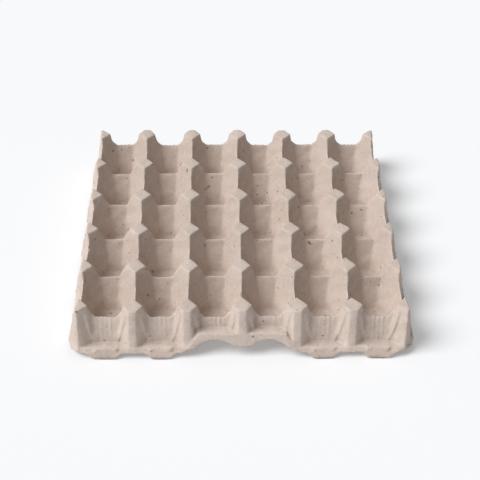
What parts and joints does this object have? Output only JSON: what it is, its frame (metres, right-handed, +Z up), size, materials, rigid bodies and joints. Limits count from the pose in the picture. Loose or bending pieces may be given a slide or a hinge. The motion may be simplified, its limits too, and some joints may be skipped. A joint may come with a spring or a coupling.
{
  "type": "pulp egg tray",
  "caption": "Moulded pulp tray with rows of faceted cups between flat-topped posts, a scalloped rim and a finger notch in front and behind.",
  "frame": {"origin": "middle of the footprint, on the surface that the tray stands on", "axes": "+X to the right along the six cups, +Y to the back along the five, +Z up; the front seen in the picture faces -Y"},
  "size_m": [0.296, 0.296, 0.045],
  "materials": {
    "pulp": "matte"
  },
  "bodies": {
    "root": {"tray": "pulp"}
  },
  "joints": []
}
